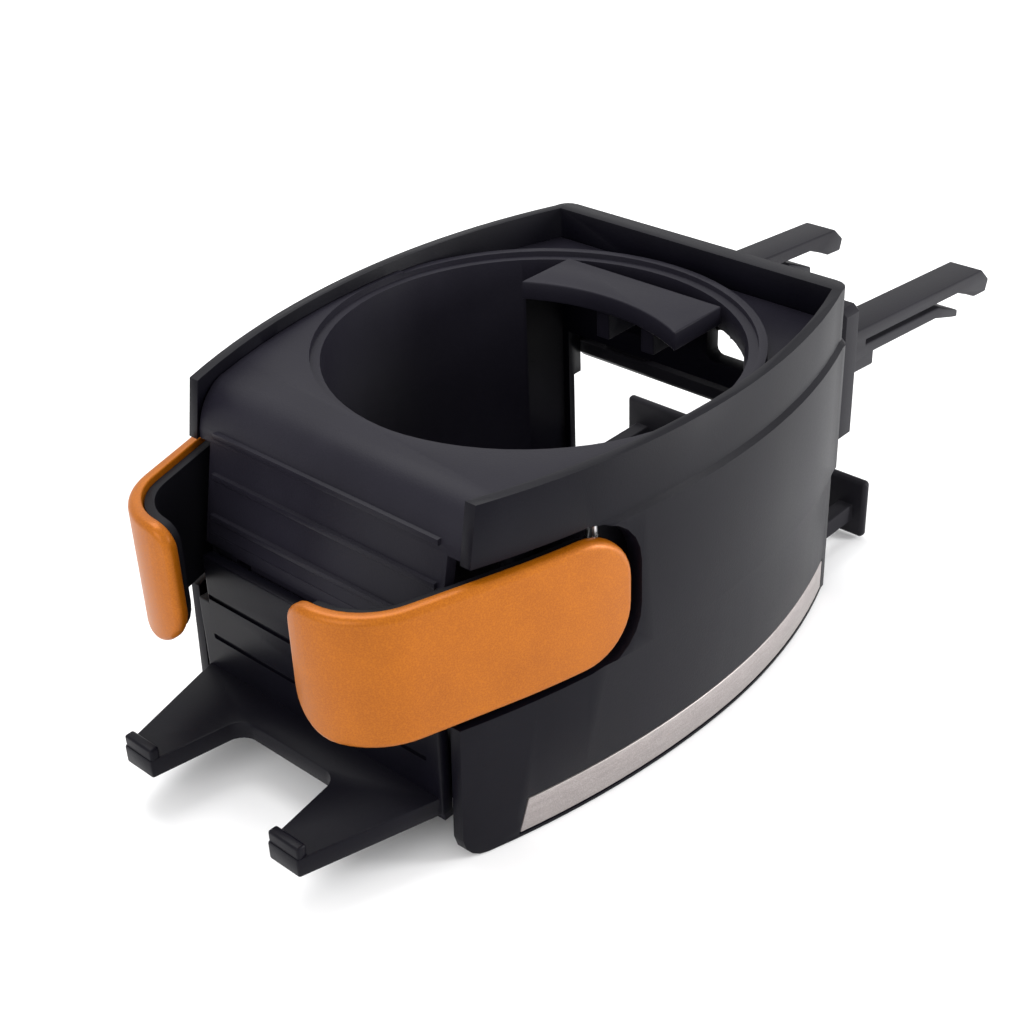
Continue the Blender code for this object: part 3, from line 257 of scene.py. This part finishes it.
BODY_BLACK = moulded_plastic("body_black", (0.0022, 0.0020, 0.0040), (0.0040, 0.0036, 0.0068), 0.30, 0.016)
DECK_BLACK = moulded_plastic("deck_black", (0.0085, 0.0077, 0.0125), (0.0130, 0.0120, 0.0180), 0.36, 0.020)
CLIP_BLACK = moulded_plastic("clip_black", (0.0075, 0.007, 0.0095), (0.0125, 0.0118, 0.0155), 0.40, 0.020)
INNER_BLACK = moulded_plastic("inner_black", (0.0035, 0.0035, 0.005), (0.006, 0.0057, 0.008), 0.44, 0.014)
ORANGE = pearl_orange("pearl_orange")
SILVER = satin_silver("satin_silver")
WIRE = drawn_steel("spring_wire", (1.0, 1.0, 1.0))
TURNED = drawn_steel("turned_steel", (1.0, 1.0, 0.1))
FLOOR_WHITE = floor_white("floor_white")


# ---- pieces --------------------------------------------------------------------------
BODIES = frame["record"]["behaviour"]["bodies"]
BODY_OF = {node: body for body, nodes in BODIES.items() for node in nodes}
SHARP_ANGLE = math.radians(30.0)    # edges sharper than this are rounded
MERGE_DISTANCE = 0.004 * MM
FLAT_ANGLE = math.radians(0.15)     # triangles this level with each other become one face


def softened(bm, width, segments=2):
    """Rounds the sharp edges by a width in millimetres."""
    sharp = [
        edge for edge in bm.edges
        if len(edge.link_faces) == 2 and edge.calc_face_angle(0.0) > SHARP_ANGLE
    ]
    bmesh.ops.bevel(
        bm, geom=sharp, offset=width * MM, segments=segments, affect="EDGES", profile=0.5, material=-1,
        clamp_overlap=True, offset_type="OFFSET",
    )
    return bm


def refined(node, finish, slot, width):
    """A copy of a moulding with its loose triangles merged and its edges softened."""
    bm = bmesh.new()
    bm.from_mesh(frame["nodes"][node].data)
    bmesh.ops.remove_doubles(bm, verts=bm.verts, dist=MERGE_DISTANCE)
    bmesh.ops.dissolve_limit(bm, angle_limit=FLAT_ANGLE, verts=bm.verts, edges=bm.edges)
    add_piece(node + "_moulding", softened(bm, width), finish, slot, node)


def add_piece(name, bm, finish, slot, *nodes, sharp=38):
    """Makes a finished piece that stands for its CAD nodes and rides with the first one's body."""
    bmesh.ops.recalc_face_normals(bm, faces=bm.faces)
    mesh = bpy.data.meshes.new(name)
    bm.to_mesh(mesh)
    bm.free()
    mesh.shade_smooth()
    mesh.set_sharp_from_angle(angle=math.radians(sharp))
    mesh.materials.append(finish)
    piece = bpy.data.objects.new(name, mesh)
    bpy.context.collection.objects.link(piece)
    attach(piece, BODY_OF[nodes[0]])
    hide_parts(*nodes)


def moved(bm, start, shift):
    """Pushes a face out of itself, which leaves a closed block."""
    pushed = bmesh.ops.extrude_face_region(bm, geom=[start])["geom"]
    verts = [item for item in pushed if isinstance(item, bmesh.types.BMVert)]
    bmesh.ops.translate(bm, verts=verts, vec=shift)


def plate(corners, thickness, depth_axis):
    """A flat block from an outline; depth_axis says which way its thickness goes."""
    bm = bmesh.new()
    face = bm.faces.new([bm.verts.new(corner) for corner in corners])
    moved(bm, face, [thickness * float(i == depth_axis) for i in range(3)])
    bmesh.ops.recalc_face_normals(bm, faces=bm.faces)
    return bm


def block(low, high):
    outline = ((low.x, low.y), (high.x, low.y), (high.x, high.y), (low.x, high.y))
    return plate([(x, y, low.z) for x, y in outline], high.z - low.z, 2)


def merged(target, *others, operation="UNION"):
    """Joins or cuts softened blocks with each other, so that every edge keeps its rounding."""
    mesh = bpy.data.meshes.new("work")
    target.to_mesh(mesh)
    work = bpy.data.objects.new("work", mesh)
    bpy.context.collection.objects.link(work)
    tools = []
    for other in others:
        tool_mesh = bpy.data.meshes.new("tool")
        other.to_mesh(tool_mesh)
        other.free()
        tool = bpy.data.objects.new("tool", tool_mesh)
        bpy.context.collection.objects.link(tool)
        change = work.modifiers.new("change", "BOOLEAN")
        change.operation = operation
        change.object = tool
        tools.append(tool)
    seen = work.evaluated_get(bpy.context.evaluated_depsgraph_get())
    result = bpy.data.meshes.new_from_object(seen)
    target.clear()
    target.from_mesh(result)
    for item in [work] + tools:
        bpy.data.objects.remove(item)


# ---- arm covers ----------------------------------------------------------------------
BODY_HALF = 39.0 * MM
FRONT_INSET = 8.7 * MM              # the walls draw in this much towards the phone side
FRONT_Y = 49.78 * MM                # where the walls end at the arms' middle height
ARM_ARC_R = (FRONT_Y**2 + FRONT_INSET**2) / (2 * FRONT_INSET)
ARM_OFFSET = 1.4 * MM
ARM_REAR_Y = -22.2 * MM
ARM_LEAVE_Y = -44.0 * MM
ARM_STRAIGHT = 14.0 * MM
ARM_HOOK_R = 12.0 * MM
ARM_HOOK_TURN = math.radians(90.0)
ARM_REAR_ANGLE = math.asin(ARM_REAR_Y / ARM_ARC_R)
ARM_LEAVE_ANGLE = math.asin(ARM_LEAVE_Y / ARM_ARC_R)
ARM_HOOK_START = (ARM_REAR_ANGLE - ARM_LEAVE_ANGLE) * ARM_ARC_R + ARM_STRAIGHT
ARM_LENGTH = ARM_HOOK_START + ARM_HOOK_TURN * ARM_HOOK_R
COVER_T = 2.2 * MM
COVER_REAR_R = 9.0 * MM
COVER_FRONT_R = 4.0 * MM
COVER_LOW_R = 7.5 * MM
COVER_RIM = 1.15 * MM               # rounding of the outer rim
COVER_BACK_RIM = 0.3 * MM
COVER_NEAR = 0.03 * MM              # how near an edge must lie to count as at a place
COVER_CUTS = 44                     # cross cuts that let the flat cover bend


def arm_point(along, offset):
    """Where the arm's curve is at a length along it, pushed outwards by an offset."""
    centre = Vector((BODY_HALF - ARM_ARC_R, AXIS_Y))
    hook_start = ARM_HOOK_START - ARM_STRAIGHT
    if along <= hook_start:
        angle = ARM_REAR_ANGLE - along / ARM_ARC_R
        return centre + (ARM_ARC_R + offset) * Vector((math.cos(angle), math.sin(angle)))
    leave = Vector((math.cos(ARM_LEAVE_ANGLE), math.sin(ARM_LEAVE_ANGLE)))
    ahead = Vector((leave.y, -leave.x)) * min(along - hook_start, ARM_STRAIGHT)
    if along <= ARM_HOOK_START:
        return centre + (ARM_ARC_R + offset) * leave + ahead
    hook_centre = centre + (ARM_ARC_R - ARM_HOOK_R) * leave + ahead
    angle = ARM_LEAVE_ANGLE - (along - ARM_HOOK_START) / ARM_HOOK_R
    return hook_centre + (ARM_HOOK_R + offset) * Vector((math.cos(angle), math.sin(angle)))


def arm_cover(tag, side):
    """Cut flat with round corners, its rim softened, then bent along the arm."""
    low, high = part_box(f"arm_cover_{tag}")
    corners = [(0, 0, low.z), (ARM_LENGTH, 0, low.z), (ARM_LENGTH, 0, high.z), (0, 0, high.z)]
    bm = plate(corners, COVER_T, 1)
    rounding = {(0, low.z): COVER_REAR_R, (0, high.z): COVER_REAR_R}
    rounding[ARM_LENGTH, low.z] = COVER_LOW_R
    rounding[ARM_LENGTH, high.z] = COVER_FRONT_R
    for (along, height), radius in rounding.items():
        here = Vector((along, 0, height))
        upright = [
            edge for edge in bm.edges
            if all((vert.co - here).xz.length < COVER_NEAR for vert in edge.verts)
        ]
        bmesh.ops.bevel(
            bm, geom=upright, offset=radius, segments=10, affect="EDGES", profile=0.5, material=-1
        )
    for depth, rounding_r, segments in ((0.0, COVER_RIM, 5), (COVER_T, COVER_BACK_RIM, 2)):
        rim = [
            edge for edge in bm.edges
            if all(abs(vert.co.y - depth) < COVER_NEAR for vert in edge.verts)
        ]
        bmesh.ops.bevel(
            bm, geom=rim, offset=rounding_r, segments=segments, affect="EDGES", profile=0.5, material=-1
        )
    for cut in range(1, COVER_CUTS):
        bmesh.ops.bisect_plane(
            bm, geom=bm.verts[:] + bm.edges[:] + bm.faces[:], dist=0.01 * MM,
            plane_co=(ARM_LENGTH * cut / COVER_CUTS, 0, 0), plane_no=(1, 0, 0),
        )
    for vert in bm.verts:
        bent = arm_point(vert.co.x, ARM_OFFSET - vert.co.y)
        vert.co = (side * bent.x, bent.y, vert.co.z)
    add_piece(f"arm_cover_{tag}_shell", bm, ORANGE, "orange_cover", f"arm_cover_{tag}", sharp=50)


# ---- phone foot ----------------------------------------------------------------------
FOOT_T = 2.2 * MM
FOOT_WIDE_HALF = 27.0 * MM
FOOT_HALF = 24.4 * MM
FOOT_WIDE_TOP = 23.6 * MM
GROOVE_Z = (24.8 * MM, 17.0 * MM)
GROOVE_HALF = 24.2 * MM
GROOVE_WIDTH = 1.0 * MM
GROOVE_DEPTH = 0.6 * MM
FORK_T = 3.3 * MM
FORK_REACH = 22.5 * MM
FORK_BAR = 6.4 * MM
PRONG_ROOT = (10.9 * MM, 26.8 * MM)
PRONG_TIP = (13.6 * MM, 20.1 * MM)
PRONG_FILLET = 2.5 * MM
LIP_HEIGHT = 5.2 * MM
LIP_T = 2.0 * MM
LIP_SET_BACK = 0.25 * MM
RUNNER_X = 17.0 * MM
RUNNER_LENGTH = 9.0 * MM
RUNNER_NECK = 2.6 * MM
RUNNER_HEAD = 5.6 * MM
RUNNER_HEAD_T = 1.5 * MM
FOOT_EDGE = 0.35                    # rounding of its edges, millimetres
SMALL_EDGE = 0.2
LIP_EDGE = 0.4


def phone_foot():
    """The grooved plate, the fork with its raised tips and the runners behind."""
    low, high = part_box("phone_foot")
    face = low.y + FORK_REACH
    outline = [
        (-FOOT_WIDE_HALF, low.z), (FOOT_WIDE_HALF, low.z), (FOOT_WIDE_HALF, FOOT_WIDE_TOP),
        (FOOT_HALF, FOOT_WIDE_TOP), (FOOT_HALF, high.z), (-FOOT_HALF, high.z),
        (-FOOT_HALF, FOOT_WIDE_TOP), (-FOOT_WIDE_HALF, FOOT_WIDE_TOP),
    ]
    foot = softened(plate([(x, face, z) for x, z in outline], FOOT_T, 1), FOOT_EDGE)
    grooves = []
    for z in GROOVE_Z:
        corner = Vector((GROOVE_HALF, GROOVE_DEPTH, GROOVE_WIDTH / 2))
        middle = Vector((0, face, z))
        grooves.append(softened(block(middle - corner, middle + corner), SMALL_EDGE))
    merged(foot, *grooves, operation="DIFFERENCE")
    tip = low.y
    right = [
        (PRONG_ROOT[0], face - FORK_BAR), (PRONG_TIP[0], tip), (PRONG_TIP[1], tip),
        (PRONG_ROOT[1], face + FOOT_T / 2),
    ]
    around = right + [(-x, y) for x, y in reversed(right)]
    fork = plate([(x, y, low.z) for x, y in around], FORK_T, 2)
    inner = [
        edge for edge in fork.edges
        if all(abs(abs(vert.co.x) - PRONG_ROOT[0]) < SMALL_EDGE * MM for vert in edge.verts)
        and abs(edge.verts[0].co.z - edge.verts[1].co.z) > FORK_T / 2
    ]
    bmesh.ops.bevel(
        fork, geom=inner, offset=PRONG_FILLET, segments=6, affect="EDGES", profile=0.5, material=-1
    )
    adds = [softened(fork, FOOT_EDGE)]
    for side in (-1, 1):
        inside, outside = sorted((side * PRONG_TIP[0], side * PRONG_TIP[1]))
        start = Vector((inside, tip + LIP_SET_BACK, low.z + FORK_T / 2))
        end = Vector((outside, tip + LIP_T, low.z + LIP_HEIGHT))
        adds.append(softened(block(start, end), LIP_EDGE, 3))
        middle = side * RUNNER_X
        start = Vector((middle - RUNNER_NECK / 2, face + FOOT_T / 2, high.z - RUNNER_LENGTH))
        end = Vector((middle + RUNNER_NECK / 2, high.y - FOOT_T / 3, high.z - SMALL_EDGE * MM))
        adds.append(block(start, end))
        start = Vector((middle - RUNNER_HEAD / 2, high.y - RUNNER_HEAD_T, high.z - RUNNER_LENGTH))
        end = Vector((middle + RUNNER_HEAD / 2, high.y, high.z))
        adds.append(softened(block(start, end), SMALL_EDGE))
    merged(foot, *adds)
    add_piece("phone_foot_moulding", foot, BODY_BLACK, "black_plastic", "phone_foot")


for node, finish, slot, width in (
    ("body_shell", BODY_BLACK, "black_plastic", 0.4),
    ("cup_deck", DECK_BLACK, "black_plastic", 0.25),
    ("clip_rail", CLIP_BLACK, "black_plastic", 0.25),
    ("cup_pad", DECK_BLACK, "black_plastic", 0.6),
    ("support_foot", CLIP_BLACK, "black_plastic", 0.3),
    ("vent_clip_left", CLIP_BLACK, "black_plastic", 0.35),
    ("vent_clip_right", CLIP_BLACK, "black_plastic", 0.35),
    ("arm_liner_left", INNER_BLACK, "black_plastic", 0.2),
    ("arm_liner_right", INNER_BLACK, "black_plastic", 0.2),
    ("trim_left", SILVER, "silver_trim", 0.15),
    ("trim_right", SILVER, "silver_trim", 0.15),
    ("cup_floor", INNER_BLACK, "black_plastic", 0.1),
):
    refined(node, finish, slot, width)
for tag, side in (("left", -1), ("right", 1)):
    arm_cover(tag, side)
phone_foot()

for name, node in frame["nodes"].items():
    for words, finish in ((("screw", "pin"), TURNED), (("spring",), WIRE)):
        if set(words) & set(name.split("_")):
            node.data.materials.clear()
            node.data.materials.append(finish)

add_camera()
add_floor()
add_world(1.0)
add_light("key", (-160.0, 60.0, 460.0), (300.0, 300.0), 1.6)
add_light("rear_strip", (330.0, 230.0, 120.0), (100.0, 260.0), 1.5)
add_light("front_fill", (60.0, -420.0, 260.0), (300.0, 300.0), 0.8)
bpy.context.scene.view_settings.view_transform = "Standard"
